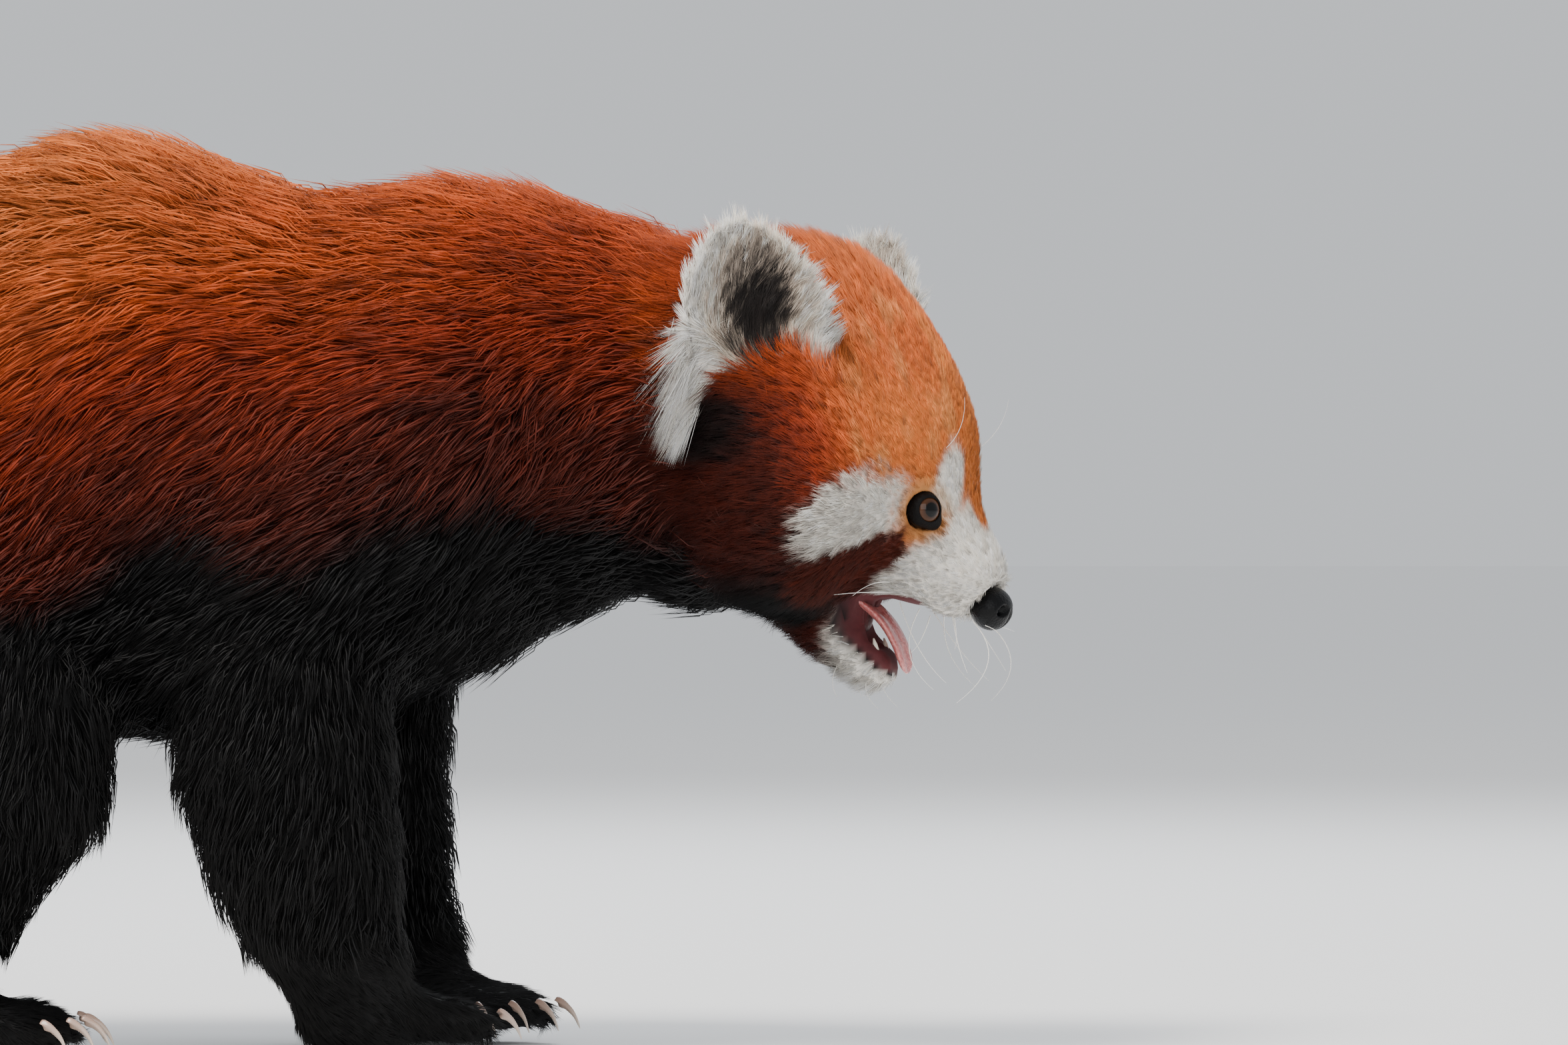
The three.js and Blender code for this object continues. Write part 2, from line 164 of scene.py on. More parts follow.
def node_arrays(name):
    """Points and triangles of a CAD node, with its corners merged."""
    mesh = nodes[name].data
    mesh.calc_loop_triangles()
    points = read(mesh.vertices, "co", 3)
    triangles = read(mesh.loop_triangles, "vertices", 3, int)
    keys, inverse = np.unique(np.round(points / same_corner), axis=0, return_inverse=True)
    inverse = inverse.reshape(-1)
    merged = np.zeros((len(keys), 3))
    merged[inverse] = points
    return merged, inverse[triangles]


def unit(vectors):
    return vectors / np.maximum(np.linalg.norm(vectors, axis=-1, keepdims=True), 1e-12)


def normals_and_areas(points, triangles):
    """The outward normal at each point and the area of each triangle."""
    a, b, c = (points[triangles[:, i]] for i in range(3))
    across = np.cross(b - a, c - a)
    total = np.zeros_like(points)
    for i in range(3):
        np.add.at(total, triangles[:, i], across)
    return unit(total), np.linalg.norm(across, axis=1) / 2


def shade_smooth(mesh):
    mesh.polygons.foreach_set("use_smooth", np.ones(len(mesh.polygons), dtype=bool))


def set_points(mesh, points):
    mesh.vertices.foreach_set("co", points.ravel())
    mesh.update()


def triangle_object(name, points, triangles):
    mesh = bpy.data.meshes.new(name)
    mesh.vertices.add(len(points))
    mesh.vertices.foreach_set("co", points.ravel())
    mesh.loops.add(triangles.size)
    mesh.loops.foreach_set("vertex_index", triangles.ravel())
    mesh.polygons.add(len(triangles))
    mesh.polygons.foreach_set("loop_start", np.arange(0, triangles.size, 3))
    shade_smooth(mesh)
    mesh.update(calc_edges=True)
    made = bpy.data.objects.new(name, mesh)
    bpy.context.collection.objects.link(made)
    return made


def select_only(obj):
    bpy.ops.object.select_all(action="DESELECT")
    obj.select_set(True)
    bpy.context.view_layer.objects.active = obj


random = np.random.default_rng(11)
flesh_points, flesh_faces, sample_places, sample_groups = [], [], [], []
points_so_far = 0
for name in FLESH:
    points, triangles = node_arrays(name)
    normals, areas = normals_and_areas(points, triangles)
    flesh_points.append(points + normals * swell)
    flesh_faces.append(triangles + points_so_far)
    points_so_far += len(points)
    samples = fewest_samples + int(areas.sum() / sample_spacing**2)
    chosen = random.choice(len(triangles), samples, p=areas / areas.sum())
    weights = random.dirichlet((1, 1, 1), samples)
    sample_places.append((points[triangles[chosen]] * weights[:, :, None]).sum(axis=1))
    sample_groups.append(np.full(samples, group_of(name)))

skin = triangle_object("skin", np.concatenate(flesh_points), np.concatenate(flesh_faces))
select_only(skin)
remesh = skin.modifiers.new("remesh", "REMESH")
remesh.mode = "VOXEL"
remesh.voxel_size = voxel
bpy.ops.object.modifier_apply(modifier="remesh")

mesh = skin.data
surface = read(mesh.vertices, "co", 3)
skin_count = len(surface)
edges = read(mesh.edges, "vertices", 2, int)
degree = np.bincount(edges.ravel(), minlength=skin_count)


def relaxed(values, rounds, strength=0.5):
    """Values at the skin's points, each drawn towards the mean of its neighbours."""
    for _ in range(rounds):
        total = np.empty_like(values)
        for k in range(values.shape[1]):
            one_way = np.bincount(edges[:, 0], values[edges[:, 1], k], skin_count)
            total[:, k] = one_way + np.bincount(edges[:, 1], values[edges[:, 0], k], skin_count)
        values = values + strength * (total / degree[:, None] - values)
    return values


def skin_normals(points):
    set_points(mesh, points)
    return read(mesh.vertex_normals, "vector", 3)


def nearest_of(places, points):
    """For each point, the number of the place nearest to it."""
    tree = KDTree(len(places))
    for i, place in enumerate(places):
        tree.insert(place, i)
    tree.balance()
    return np.array([tree.find(point)[1] for point in points])


# How far each point of the skin belongs to each group
nearest = np.concatenate(sample_groups)[nearest_of(np.concatenate(sample_places), surface)]
share = np.zeros((skin_count, len(GROUPS)))
share[np.arange(skin_count), nearest] = 1
share = relaxed(share, 5)

# The head's own frame: f forward, s to its left and u up from the floor, in millimetres. The head is
# turned to the animal's right.
UP = np.array([0, 0, 1])
head_turn = math.radians(-18)
head_forward = np.array([math.cos(head_turn), math.sin(head_turn), 0])
head_left = np.array([-math.sin(head_turn), math.cos(head_turn), 0])
nose_ahead = 57.5  # of the axis that the head turns about, in millimetres
head_origin = nose_middle * (1, 1, 0) - head_forward * nose_ahead * MM


def to_head(points):
    away = points - head_origin
    return np.stack([away @ head_forward, away @ head_left, away[:, 2]], axis=1) / MM


def from_head(f, s, u):
    return head_origin + (head_forward * f + head_left * s + UP * u) * MM


def soft(values, low, high):
    """From 0 at low to 1 at high, smoothly."""
    t = np.clip((values - low) / (high - low), 0, 1)
    return t * t * (3 - 2 * t)


# Depth of the coat over the skin for each group, in millimetres
COAT_DEPTH = {
    "trunk": 11, "neck": 10, "head": 3.4, "jaw": -0.8, "tail": 12, "ear": 1.9, "leg": 7, "paw": 2.6,
}
depth = share @ np.array([COAT_DEPTH[group] for group in GROUPS])
ruff = share[:, HEAD] * soft(-to_head(surface)[:, 0], -18, 25)
ruff_depth = 4.5  # the coat deepens behind the cheeks
depth += ruff_depth * ruff
surface = relaxed(surface, 3)
normals = skin_normals(surface)
depth = relaxed(depth[:, None], 12)
normals = unit(relaxed(normals.copy(), 4))
surface = relaxed(surface - normals * depth * MM, 3)

# The open mouth: a vault over the tongue and a trough in the lower jaw. The lips run back to the
# mouth's corners, at the heights U for the distances F.
roof_height, trough_depth, lip_thinning = 4.5 * MM, 4.5 * MM, 2.2 * MM
LOWER_LIP_F = [4, 9.5, 16.4, 19.8, 24.7, 28]
LOWER_LIP_U = [140, 137, 129.5, 123.5, 120.5, 120]
UPPER_LIP_F = [4, 9.5, 20.5, 32.8, 41.5, 53]
UPPER_LIP_U = [139, 139, 140, 134.7, 129.5, 129]
f, s, u = to_head(surface).T
normals = skin_normals(surface)
of_head, of_jaw = share[:, HEAD], share[:, JAW]
in_mouth = soft(14 - np.abs(s) * 0.75 - np.maximum(f - 40, 0), 0, 4) * soft(f, 6, 14)
roof = in_mouth * soft(-normals[:, 2], 0.25, 0.7) * soft(150 - u, 0, 5) * soft(of_head, 0.3, 0.7)
out_of_jaw = head_forward * 0.69 + UP * 0.72  # square to the jaw's open side
bed = soft(normals @ out_of_jaw, 0.1, 0.55) * soft(of_jaw, 0.35, 0.65)
trough = bed * soft(7.5 - np.abs(s), 0, 4) * soft(24 - f, -1, 4)
over_lip = (u - np.interp(f, LOWER_LIP_F, LOWER_LIP_U)) * 0.68
bed = np.maximum(bed, soft(over_lip, -0.6, 0.8) * soft(of_jaw, 0.15, 0.35) * soft(f, 4, 9))
under_lip = np.interp(f, UPPER_LIP_F, UPPER_LIP_U) - u
lip = soft(under_lip, 0.5, 2.5) * soft(-normals[:, 2], -0.1, 0.3) * soft(f, 7, 11) * in_mouth
roof = np.maximum(roof, lip * soft(of_head, 0.4, 0.7))
surface[:, 2] += roof_height * roof
surface -= trough[:, None] * trough_depth * out_of_jaw
surface -= (bed * soft(over_lip, 0, 2) * np.sign(s) * lip_thinning)[:, None] * head_left
mouth = np.clip(roof + bed, 0, 1)

# Sockets for the eyes, and a dip round each for the lids
eye_middles = {side: box_middle(f"eye_{side}") for side in SIDES}
eye_radius = 5.6 * MM
eye_sunk = 1.2 * MM  # the globe's middle, behind that of the solid
lid_thickness = 0.5 * MM
socket_depth = 2.2 * MM
eye_out = {side: unit(head_forward * 0.8 + head_left * 0.6 * sign) for side, sign in SIDES.items()}
globe_middles = {side: eye_middles[side] - eye_out[side] * eye_sunk for side in SIDES}
for side in SIDES:
    away = surface - globe_middles[side]
    distance = np.linalg.norm(away, axis=1)
    ahead = away @ eye_out[side]
    aside = np.linalg.norm(away - ahead[:, None] * eye_out[side], axis=1)
    hugging = 1 - soft(distance, 8 * MM, 11 * MM)
    wanted = eye_radius + lid_thickness - socket_depth * (1 - soft(aside, 3.4 * MM, 5.0 * MM))
    surface += away / distance[:, None] * ((wanted - distance) * hugging)[:, None]

normals = skin_normals(surface)
normals = unit(relaxed(normals.copy(), 2))
shade_smooth(mesh)
mesh.update()

# The markings, for skin and coat alike: rust red above, black below, a white muzzle, brows, cheeks and
# ears, a dark stripe from each eye to the mouth, and rings round the tail. With them go a painted
# highlight on the back and a painted shadow under each ear.


def linear(red, green, blue):
    """A colour as it looks on a screen, 0 to 255, made linear."""
    return (np.array([red, green, blue]) / 255) ** 2.2


ORANGE = linear(208, 116, 55)
RUST = linear(178, 76, 32)
RED = linear(134, 47, 19)
MAROON = linear(72, 27, 16)
BLACK = linear(11, 10, 11)
WHITE = linear(240, 233, 222)
BUFF = linear(214, 156, 96)
STRIPE = linear(104, 38, 16)
CHARCOAL = linear(62, 56, 54)
MOUTH_FLESH_AND_SHADE = linear(84, 44, 46)


def blend(colours, other, amount):
    return colours + (other - colours) * amount[:, None]


def waver(points, scale, seed=0):
    """A smooth wander, mostly between -1 and 1, that changes over the given length."""
    turn = np.random.default_rng(seed)
    total = np.zeros(len(points))
    for _ in range(5):
        direction = unit(turn.normal(size=3)) * turn.uniform(0.6, 1.8)
        total += np.sin(points @ direction * (2 * math.pi / scale) + turn.uniform(0, 6.3))
    return total / 3


nose_x = nose_middle[0]
# The line along the flank where the black of the belly ends
BLACK_LINE_X = nose_x + np.array([-450, -390, -300, -240, -200, -160, -118, -95, -60]) * MM
BLACK_LINE_Z = np.array([122, 122, 138, 155, 152, 164, 167, 160, 150]) * MM
# The tail's middle line, from the root to near the tip
TAIL_X = nose_x + np.array([-420, -474, -538, -610, -688, -760]) * MM
TAIL_Y = nose_middle[1] + np.array([30, 33, 38, 44, 48, 44]) * MM
TAIL_Z = np.array([196, 168, 118, 72, 49, 43]) * MM
tail_points = np.stack([TAIL_X, TAIL_Y, TAIL_Z], axis=1)
tail_steps = np.linalg.norm(np.diff(tail_points, axis=0), axis=1)
TAIL_ALONG = np.concatenate([[0], np.cumsum(tail_steps)])
tail_tip = 30 * MM  # past the end of the line
tail_length = TAIL_ALONG[-1] + tail_tip


def tail_place(points):
    """How far along the tail each point lies, from its root."""
    best = np.full(len(points), np.inf)
    along = np.zeros(len(points))
    ways = np.diff(tail_points, axis=0)
    for i, (start, step, before, length) in enumerate(zip(tail_points, ways, TAIL_ALONG, tail_steps)):
        is_last = i == len(ways) - 1
        clipped = np.clip((points - start) @ step / length**2, 0, 1.5 if is_last else 1)
        gap = np.linalg.norm(points - start - clipped[:, None] * step, axis=1)
        closer = gap < best
        best[closer] = gap[closer]
        along[closer] = before + clipped[closer] * length
    return along


EAR_MIDDLE = {side: from_head(2, 61 * sign, 223) for side, sign in SIDES.items()}
EAR_SIZE = (24.5 * MM, 29 * MM)  # half its width and half its height


def ear_axes(side):
    """Towards the forehead, up the ear and out of its opening."""
    sign = SIDES[side]
    rise = unit(np.array([-0.16, 0.28 * sign, 0.94]))
    opening = np.array([0.42, 0.86 * sign, 0])
    opening = unit(opening - opening @ rise * rise)
    axes = np.stack([np.cross(rise, opening) * -sign, rise, opening])
    return axes @ np.stack([head_forward, head_left, UP])


def ear_place(points, side):
    """Across, up and out of the ear's opening, as shares of its size."""
    away = (points - EAR_MIDDLE[side]) @ ear_axes(side).T
    return away[:, 0] / EAR_SIZE[0], away[:, 1] / EAR_SIZE[1], away[:, 2] / EAR_SIZE[1]


def body_colours(points):
    """Black below a line along the flank, then maroon, red and rust, and orange on the back and rump:
    partly the coat's own lighter tips and partly painted highlight where the light falls from above.
    """
    z = points[:, 2] + 7 * MM * waver(points, 60 * MM, 3)
    line = np.interp(points[:, 0], BLACK_LINE_X, BLACK_LINE_Z)
    towards_rump = soft(-(points[:, 0] - nose_x) / MM, 130, 320)
    rise = (z - line) / MM
    colours = np.repeat(BLACK[None], len(points), axis=0)
    colours = blend(colours, MAROON, soft(rise, -7, 10))
    rise = rise + 14 * towards_rump
    colours = blend(colours, RED, soft(rise, 14, 66))
    colours = blend(colours, RUST, soft(rise, 52, 100))
    # orange on the back and rump: partly the coat's own lighter tips, partly painted highlight of the
    # light from above
    colours = blend(colours, ORANGE, soft(rise, 72, 132) * (0.1 + 0.65 * towards_rump))
    return blend(colours, MAROON, 0.35 * soft(waver(points, 30 * MM, 5), 0.1, 0.9) * soft(rise, 0, 40))


def spot(across, up, middle, half):
    """How far each place lies from a spot's middle, as a share of the spot's half sizes."""
    return np.hypot((across - middle[0]) / half[0], (up - middle[1]) / half[1])


def head_colours(points):
    f, s, u = to_head(points).T
    f = f + 1.3 * waver(points, 9 * MM, 7)
    u = u + 1.3 * waver(points, 8 * MM, 8)
    side = np.abs(s)
    colours = np.repeat(RUST[None], len(points), axis=0)
    ahead = f + 0.35 * (u - 190) - 0.25 * (side - 30)
    colours = blend(colours, ORANGE, soft(ahead, 8, 38) * (0.9 - 0.45 * soft(u, 190, 212)))
    pale = soft(waver(points, 14 * MM, 15), 0.0, 1.0) * soft(f, 16, 34)
    colours = blend(colours, BUFF, 0.35 * pale)
    # darker behind the cheeks, but not over the nape
    lower = soft(-u, -216, -188)
    colours = blend(colours, RED, soft(-ahead, -27, -5) * soft(side, 16, 34) * (0.35 + 0.65 * lower))
    colours = blend(colours, MAROON * 0.65, soft(-ahead, -15, 10) * soft(side, 20, 38) * 0.9 * lower)
    colours = blend(colours, MAROON, soft(-u, -160, -146))
    colours = blend(colours, BLACK, soft(-u, -152, -136) * soft(-f, -24, -6))
    # painted shadow under the ear, in black, behind the cheek
    ear_shadow = spot(f, u, (-12, 188), (15, 13))
    colours = blend(colours, BLACK, (1 - soft(ear_shadow, 0.5, 1.2)) * soft(side, 38, 46) * 0.9)
    # tan under the eye and down the nose's bridge
    tan = spot(f, u, (40, 158), (12, 12))
    colours = blend(colours, ORANGE, (1 - soft(tan, 0.6, 1.1)) * 0.8)
    # white muzzle, bounded by a line from the eye's inner corner to the corner of the mouth
    under_eye = np.maximum(f - 38, 0) * soft(side, 12, 18)
    on_muzzle = (f - 22.5) * 0.72 - (u - 140) * 0.66 - 0.45 * under_eye
    colours = blend(colours, WHITE, soft(on_muzzle, 1.5, 5.5) * soft(-u, -172, -160))
    bridge = np.hypot(side / 6.5, np.maximum(166 - u, 0) / 9)
    colours = blend(colours, ORANGE, (1 - soft(bridge, 0.6, 1.1)) * soft(f, 30, 40) * soft(u, 148, 156))
    # white spot over the inner corner of each eye
    brow = spot(side + 0.15 * (u - 173), u, (14, 173), (6.5, 12))
    colours = blend(colours, WHITE, (1 - soft(brow, 0.65, 1.1)) * soft(f, 28, 36))
    # white cheek, tufty at its back edge
    cheek = spot(f - 0.5 * (u - 161), u, (27, 161), (12, 14)) + 0.14 * waver(points, 4 * MM, 13)
    colours = blend(colours, WHITE * 0.84, (1 - soft(cheek, 0.68, 1.2)) * soft(side, 24, 31))
    # cream over and under the eye
    for middle in eye_middles.values():
        lash = np.linalg.norm((points - middle) / MM, axis=1)
        colours = blend(colours, BUFF * 0.9, (1 - soft(lash, 8.0, 11.5)) * 0.55)
    # dark stripe from the eye past the corner of the mouth
    stripe = np.abs(u - (156.5 - 0.52 * (43 - f))) / 5.2
    in_stripe = 1.2 * (1 - soft(stripe, 0.6, 1.2)) * soft(side, 13, 18)
    in_stripe = in_stripe * soft(f, 4, 14) * (1 - soft(f, 37, 41))
    colours = blend(colours, STRIPE * 0.5, np.clip(in_stripe, 0, 1))
    # grey specks by the nose
    specks = soft(waver(points, 2.2 * MM, 9), 0.5, 1.1) * soft(f, 44, 52)
    return blend(colours, CHARCOAL, 0.45 * specks)


def jaw_colours(points):
    f, s, u = to_head(points).T
    colours = np.repeat(MAROON[None], len(points), axis=0)
    return blend(colours, WHITE, soft(f + 0.4 * (140 - u) + 2 * waver(points, 9 * MM, 4), 13, 22))


def ear_colours(points):
    colours = np.repeat(WHITE[None], len(points), axis=0)
    left = to_head(points)[:, 1] > 0
    for side in SIDES:
        across, up, out = ear_place(points, side)
        streaks = waver(points * [1, 1, 0.25], 2.5 * MM, 6)
        away = spot(across - 0.2 * up, up, (0.12, -0.1), (0.5, 0.72)) + 0.3 * streaks
        front = out > -0.27 * (1 - across**2 - up**2) - 0.4
        patch = np.where(front, 1 - soft(away, 0.5, 1.25), 0)
        behind = np.where(front, 0, 1 - soft(np.hypot(across, up + 0.3), 0.45, 0.95))
        here = left == (side == "left")
        cream = np.where(front, 1 - soft(away, 0.9, 1.7), 0)
        colours[here] = blend(colours, BUFF * 0.9, 0.35 * cream)[here]
        colours[here] = blend(colours, CHARCOAL * 0.6, patch)[here]
        colours[here] = blend(colours, RED, behind)[here]
    return colours


ring_spacing = 37 * MM


def tail_colours(points):
    along = tail_place(points) + 4 * MM * waver(points, 30 * MM, 12)
    ring = np.sin(along * (2 * math.pi / ring_spacing) + 0.8)
    colours = np.repeat(RED[None] * 1.15, len(points), axis=0)
    colours = blend(colours, BUFF, soft(ring, 0.05, 0.75) * 0.85 * soft(along, 20 * MM, 55 * MM))
    return blend(colours, BLACK * 2, soft(along, tail_length - 42 * MM, tail_length - 14 * MM))


def markings_and_painted_light(points, share):
    weight = {group: share[:, i] for i, group in enumerate(GROUPS)}
    in_head = weight["head"] + weight["jaw"] + weight["ear"]
    colours = blend(body_colours(points), head_colours(points), soft(in_head, 0.3, 0.9))
    colours = blend(colours, jaw_colours(points), soft(weight["jaw"], 0.3, 0.8))
    colours = blend(colours, ear_colours(points), soft(weight["ear"], 0.35, 0.75))
    return blend(colours, tail_colours(points), soft(weight["tail"], 0.2, 0.8))


def put_colours(target, colours):
    layer = target.color_attributes.new("markings_and_painted_light", "FLOAT_COLOR", "POINT")
    rgba = np.ones((len(colours), 4))
    rgba[:, :3] = np.clip(colours, 0, 1)
    layer.data.foreach_set("color", rgba.ravel())


# The ear's cup runs down into the side of the head
for side in SIDES:
    across, up, out = ear_place(surface, side)
    lower = np.where(up < 0, 1.45 + 0.35 * across, 1)
    cup = (1 - soft(np.hypot(across, up * lower), 0.84, 1.0)) * soft(out, -0.9, -0.6)
    cup *= (to_head(surface)[:, 1] > 0) == (side == "left")
    share = share * (1 - cup[:, None])
    share[:, EAR] += cup
set_points(mesh, surface)

skin_colours = markings_and_painted_light(surface, share)
# painted shade: the skin between the hair roots is darker than the coat, and the mouth's lining is partly
# its own dusky flesh colour and partly painted shade of the inside of the mouth
skin_colours = blend(skin_colours * 0.72, MOUTH_FLESH_AND_SHADE, mouth)
skin_colours = blend(skin_colours, BLACK, np.clip(4.5 * mouth * (1 - mouth), 0, 1))
skin_colours = blend(skin_colours, BLACK * 2, 0.75 * mouth * soft(-to_head(surface)[:, 0], -20, -9))
put_colours(mesh, skin_colours)


def grain_group():
    """A fine noise over the object, and the normals of the bumps that it raises."""
    group = bpy.data.node_groups.new("grain", "ShaderNodeTree")
    given = group.nodes.new("NodeGroupInput")
    result = group.nodes.new("NodeGroupOutput")
    place = group.nodes.new("ShaderNodeTexCoord")
    noise = group.nodes.new("ShaderNodeTexNoise")
    bump = group.nodes.new("ShaderNodeBump")
    group.links.new(place.outputs["Object"], noise.inputs["Vector"])
    group.links.new(noise.outputs["Fac"], bump.inputs["Height"])
    inner = {
        "Scale": noise.inputs["Scale"], "Detail": noise.inputs["Detail"],
        "Strength": bump.inputs["Strength"], "Height": bump.inputs["Distance"],
    }
    for label, socket in inner.items():
        group.interface.new_socket(label, in_out="INPUT", socket_type="NodeSocketFloat")
        group.links.new(given.outputs[label], socket)
    group.interface.new_socket("Grain", in_out="OUTPUT", socket_type="NodeSocketFloat")
    group.interface.new_socket("Normal", in_out="OUTPUT", socket_type="NodeSocketVector")
    group.links.new(noise.outputs["Fac"], result.inputs["Grain"])
    group.links.new(bump.outputs["Normal"], result.inputs["Normal"])
    return group


grain = grain_group()


def add_grain(made, shader, scale, height, detail=2, strength=1.0):
    """Roughens a material, and gives its tree and the grain that other nodes may read."""
    tree = made.node_tree
    node = tree.nodes.new("ShaderNodeGroup")
    node.node_tree = grain
    for label, value in (("Scale", scale), ("Detail", detail), ("Strength", strength), ("Height", height)):
        node.inputs[label].default_value = value
    tree.links.new(node.outputs["Normal"], shader.inputs["Normal"])
    return tree, node.outputs["Grain"]


def coat_material(name, roughness, fleck):
    """Coloured by the markings and their painted light and shade, with a fine fleck of lighter and darker
    hair.
    """
    made, shader = material(name, roughness=roughness, Specular_IOR_Level=0.25)
    tree, noise = add_grain(made, shader, 420, 0.4 * MM, detail=3, strength=0.3)
    attribute = tree.nodes.new("ShaderNodeAttribute")
    attribute.attribute_name = "markings_and_painted_light"
    spread = tree.nodes.new("ShaderNodeMapRange")
    spread.inputs["To Min"].default_value = 1 - fleck
    spread.inputs["To Max"].default_value = 1 + fleck
    tree.links.new(noise, spread.inputs["Value"])
    shade = tree.nodes.new("ShaderNodeVectorMath")
    shade.operation = "SCALE"
    tree.links.new(attribute.outputs["Color"], shade.inputs[0])
    tree.links.new(spread.outputs["Result"], shade.inputs["Scale"])
    tree.links.new(shade.outputs["Vector"], shader.inputs["Base Color"])
    return made


mesh.materials.clear()
mesh.materials.append(coat_material("skin", 0.75, 0.3))
select_only(skin)
bpy.ops.object.mode_set(mode="EDIT")
bpy.ops.mesh.select_all(action="SELECT")
bpy.ops.uv.smart_project(angle_limit=math.radians(66), island_margin=0.002)
bpy.ops.object.mode_set(mode="OBJECT")
mesh = skin.data
mesh.uv_layers[0].name = "OFBake"
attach(skin, "root")
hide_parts(*FLESH)

# The coat: hair rooted all over the skin, as bent locks and finer straight hairs. Each is a thin
# three-sided strand that lies back along the body and ends in a point, and its tip is drawn to those of
# its neighbours.
# Length, width of a lock and of a single hair in millimetres, lift at the root in degrees, then locks and
# single hairs to a square centimetre
COAT = {
    "trunk": (22, 0.85, 0.42, 34, 26, 38),
    "neck": (21, 0.75, 0.4, 34, 34, 66),
    "head": (8, 0.5, 0.34, 40, 0, 290),
    "jaw": (4, 0.5, 0.3, 24, 0, 300),
    "tail": (25, 1.0, 0.45, 40, 22, 34),
    "ear": (8, 0.5, 0.3, 34, 0, 420),
    "leg": (16, 0.85, 0.42, 30, 22, 30),
    "paw": (8, 0.8, 0.45, 26, 0, 120),
}
figures = np.array([COAT[group] for group in GROUPS], dtype=float)
length, width, hair_width, lift, crowd, hairs = (share @ figures).T
ruff_length, tuft_length, fringe_length = 8, 22, 3.5  # added to the hair, in millimetres
length = length + ruff_length * ruff
of_jaw, of_ear = share[:, JAW], share[:, EAR]

# The lie of the coat: back from the nose, back and down along the body, down the legs, along the tail
f, s, u = to_head(surface).T
side_on = 1 - np.abs(normals[:, 2])
body_lie = np.stack([-np.ones(skin_count), np.zeros(skin_count), -0.1 - 0.75 * side_on], axis=1)
from_nose = unit(surface - from_head(60, 0, 140))
face_lie = from_nose - soft(-f, -30, 10)[:, None] * (0.5 * UP + 0.8 * head_forward)
head_lie = face_lie - 0.35 * (np.abs(s) > 24)[:, None] * UP * soft(-u, -185, -160)[:, None]
jaw_lie = np.repeat((-head_forward - 0.3 * UP)[None], skin_count, axis=0)
tail_ahead = np.gradient(tail_points, axis=0)
tail_lie = np.stack([np.interp(-surface[:, 0], -TAIL_X, tail_ahead[:, k]) for k in range(3)], axis=1)
leg_lie = np.repeat(np.array([[-0.22, 0, -1]]), skin_count, axis=0)
paw_lie = np.repeat(np.array([[0.75, 0, -0.5]]), skin_count, axis=0)
ear_lie = np.zeros((skin_count, 3))
left = s > 0
for side in SIDES:
    here = left == (side == "left")
    ear_foot = EAR_MIDDLE[side] + (ear_axes(side)[2] * 2 - UP * 22) * MM
    ear_lie[here] = unit(surface - ear_foot)[here]
lies = [body_lie, body_lie, head_lie, jaw_lie, tail_lie, ear_lie, leg_lie, paw_lie]
lie = sum(unit(each) * share[:, i : i + 1] for i, each in enumerate(lies))

# A long white tuft hangs from the back edge of each ear, and a fringe from the lower jaw
hanging = np.zeros(skin_count)
for side in SIDES:
    across, up, out = ear_place(surface, side)
    near = (np.abs(out) < 0.9) & (left == (side == "left"))
    hanging = np.where(near, soft(-across - 0.6 * up, 0.55, 0.95) * soft(-up, -0.1, 0.35), hanging)
hanging *= soft(of_ear, 0.3, 0.7)
lie = unit(lie) * (1 - hanging[:, None]) + hanging[:, None] * np.array([-0.25, 0, -1])
fringe = of_jaw * soft(-normals @ out_of_jaw, 0.0, 0.6)
length += tuft_length * hanging + fringe_length * fringe
lift += 14 * fringe
hair_width += 0.12 * hanging
lie = relaxed(lie, 6)

# Nothing grows on the eyes and lids, the nose leather, the inside of the mouth or the soles
bare = mouth.copy()
for middle in eye_middles.values():
    bare = np.maximum(bare, 1 - soft(np.linalg.norm(surface - middle, axis=1), 5.8 * MM, 7.4 * MM))
bare = np.maximum(bare, 1 - soft(np.linalg.norm((surface - nose_middle) / MM, axis=1), 7, 8.6))
bare = np.maximum(bare, soft(-normals[:, 2], 0.75, 0.95) * (surface[:, 2] < 6 * MM))
crowd = crowd * (bare < 0.5)
hairs = hairs * (bare < 0.5)
# The coat is shortest on the muzzle and round the eyes
close = np.clip(soft(f, 12, 44) * share[:, HEAD], 0, 1)
for middle in eye_middles.values():
    near_eye = 1 - soft(np.linalg.norm(surface - middle, axis=1), 9 * MM, 26 * MM)
    close = np.maximum(close, near_eye)
length = length * (1 - 0.52 * close)
hair_width = hair_width * (1 - 0.2 * close)
hairs = hairs * (1 + 0.35 * close)
lift = lift - 12 * close

uvs = read(mesh.uv_layers["OFBake"].data, "uv", 2)
mesh.calc_loop_triangles()
triangles = read(mesh.loop_triangles, "vertices", 3, int)
corner_loops = read(mesh.loop_triangles, "loops", 3, int)
areas = normals_and_areas(surface, triangles)[1]
square_centimetre = (10 * MM) ** 2


def scattered(density):
    """Triangles of the skin, each as often as the density per square centimetre asks."""
    wanted = density[triangles].mean(axis=1) * areas / square_centimetre
    wanted = np.floor(wanted + random.random(len(wanted))).astype(int)
    return np.repeat(np.arange(len(triangles)), wanted)


bent = scattered(crowd)
chosen = np.concatenate([bent, scattered(hairs)])
weights = random.dirichlet((1, 1, 1), len(chosen))
single = np.arange(len(chosen)) >= len(bent)


def at_roots(values):
    return (values[triangles[chosen]] * weights[:, :, None]).sum(axis=1)


